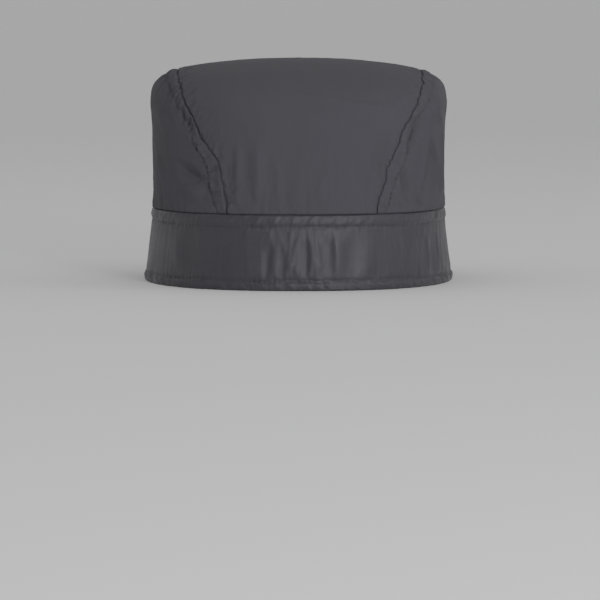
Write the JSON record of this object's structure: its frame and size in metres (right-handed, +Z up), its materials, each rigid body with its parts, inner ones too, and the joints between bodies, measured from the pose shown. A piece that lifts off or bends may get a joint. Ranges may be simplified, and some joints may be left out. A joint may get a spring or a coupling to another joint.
{
  "type": "chef skull cap",
  "caption": "Brimless soft woven-cloth work cap: a centre panel over the crown, a panel over each ear and a straight stitched band, open below for the head.",
  "frame": {"origin": "middle of the outer box, on the plane of the rim that the cap rests on", "axes": "+Z up through the crown, -Y towards the front of the head, +X towards the viewer's right when the front is looked at"},
  "size_m": [0.1704, 0.2087, 0.122],
  "materials": {
    "crown_cloth": "matt woven poly-cotton with a faint sheen",
    "band_cloth": "matt woven poly-cotton, two layers, topstitched"
  },
  "bodies": {
    "root": {"centre_panel": "crown_cloth", "side_panel_left": "crown_cloth", "side_panel_right": "crown_cloth", "band": "band_cloth"}
  },
  "joints": []
}
